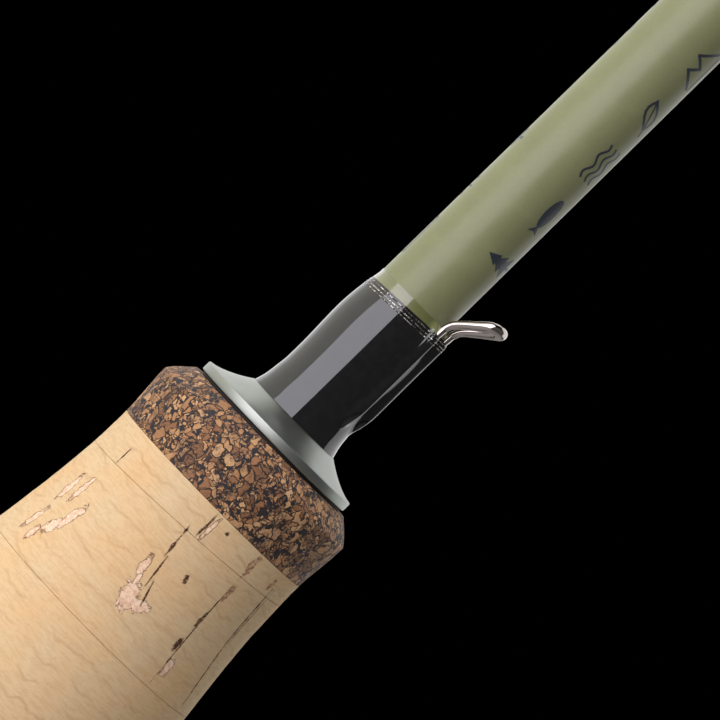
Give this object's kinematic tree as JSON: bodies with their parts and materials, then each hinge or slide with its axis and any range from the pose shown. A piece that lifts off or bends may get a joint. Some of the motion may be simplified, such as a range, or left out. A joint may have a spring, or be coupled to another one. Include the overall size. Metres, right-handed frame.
{
  "type": "fly rod and reel",
  "caption": "Light three-piece fly rod with a cork full wells grip, hook keeper, snake guides and a disc-drag fly reel in its screw-lock reel seat.",
  "frame": {"origin": "middle of the butt cap's flat end face, where the rod rests on the ground", "axes": "+Z along the rod towards the tip, -Y towards the reel, the guides and the hook keeper, +X along the reel's axle towards its crank"},
  "size_m": [0.0553, 0.1095, 1.676],
  "materials": {
    "cork": "matt turned natural cork with filled pits",
    "burl_cork": "matt composite cork, tan granules in dark binder",
    "aluminium": "satin grey anodised",
    "rubber": "black gasket",
    "thread_wrap": "black thread under clear gloss varnish",
    "blank": "sage green satin lacquer over carbon fibre",
    "chrome": "bright chromed wire",
    "walnut": "oiled and varnished walnut",
    "ceramic": "polished dark ceramic",
    "gunmetal": "dark grey anodised, machined",
    "drag_disc": "carbon composite friction disc",
    "brass": "turned brass"
  },
  "bodies": {
    "butt_section": {"butt_blank": "blank", "butt_cap": "aluminium", "seat_barrel": "aluminium", "seat_insert": "walnut", "grip_hood": "aluminium", "grip_rear_burl": "burl_cork", "cork_ring_01": "cork", "cork_ring_02": "cork", "cork_ring_03": "cork", "cork_ring_04": "cork", "cork_ring_05": "cork", "cork_ring_06": "cork", "cork_ring_07": "cork", "cork_ring_08": "cork", "cork_ring_09": "cork", "cork_ring_10": "cork", "cork_ring_11": "cork", "cork_ring_thin": "cork", "grip_front_burl": "burl_cork", "check_gasket": "rubber", "winding_check": "aluminium", "keeper_wrap": "thread_wrap", "hook_keeper": "chrome", "reel_foot": "gunmetal", "reel_frame": "gunmetal", "foot_screw_1": "brass", "foot_screw_2": "brass", "pressure_plate": "brass", "drag_washer": "drag_disc", "spindle": "aluminium", "pawl_pin": "aluminium", "click_spring": "aluminium"},
    "middle_section": {"mid_blank": "blank", "mid_ferrule_wrap": "thread_wrap", "stripping_guide_frame": "chrome", "stripping_guide_ring": "ceramic", "snake_guide_1": "chrome", "snake_guide_2": "chrome"},
    "tip_section": {"tip_blank": "blank", "tip_ferrule_wrap": "thread_wrap", "snake_guide_3": "chrome", "snake_guide_4": "chrome", "snake_guide_5": "chrome", "snake_guide_6": "chrome", "tip_top": "chrome"},
    "seat_hood": {"sliding_hood": "aluminium"},
    "seat_nut": {"lock_nut": "aluminium"},
    "reel_spool": {"spool": "gunmetal", "clutch_sleeve": "brass", "click_gear": "brass", "handle_post": "aluminium", "counterweight": "aluminium"},
    "crank_knob": {"handle_knob": "walnut"},
    "drag_dial": {"drag_knob": "gunmetal", "drag_screw": "brass"},
    "spool_nut": {"spool_cap": "aluminium"},
    "pawl": {"click_pawl": "brass"}
  },
  "joints": [
    {"name": "nut_turn", "type": "hinge", "parent": "seat_hood", "child": "seat_nut", "pos_m": [0, 0, 0.03], "axis": [0, 0, 1], "range_deg": [-1800, 0]},
    {"name": "hood_slide", "type": "slide", "parent": "butt_section", "child": "seat_hood", "axis": [0, 0, 1], "range_m": [-0.01, 0]},
    {"name": "mid_ferrule", "type": "slide", "parent": "butt_section", "child": "middle_section", "axis": [0, 0, 1], "range_m": [0, 0.045]},
    {"name": "tip_ferrule", "type": "slide", "parent": "middle_section", "child": "tip_section", "axis": [0, 0, 1], "range_m": [0, 0.045]},
    {"name": "spool_spin", "type": "hinge", "parent": "butt_section", "child": "reel_spool", "pos_m": [0, -0.05535, 0.0681], "axis": [1, 0, 0], "continuous": true},
    {"name": "knob_spin", "type": "hinge", "parent": "reel_spool", "child": "crank_knob", "pos_m": [0.022, -0.08335, 0.0681], "axis": [1, 0, 0], "continuous": true},
    {"name": "drag_turn", "type": "hinge", "parent": "butt_section", "child": "drag_dial", "pos_m": [-0.018, -0.05535, 0.0681], "axis": [-1, 0, 0], "range_deg": [-180, 180]},
    {"name": "spool_nut_turn", "type": "hinge", "parent": "butt_section", "child": "spool_nut", "pos_m": [0.0135, -0.05535, 0.0681], "axis": [1, 0, 0], "range_deg": [0, 720]},
    {"name": "pawl_swing", "type": "hinge", "parent": "butt_section", "child": "pawl", "pos_m": [-0.0095, -0.06775, 0.0681], "axis": [1, 0, 0], "range_deg": [-12, 12], "stiffness_Nm_per_rad": 0.0005}
  ],
  "couplings": [
    {"joint": "nut_turn", "follows": "hood_slide", "rad_per_m": 3141.6}
  ]
}
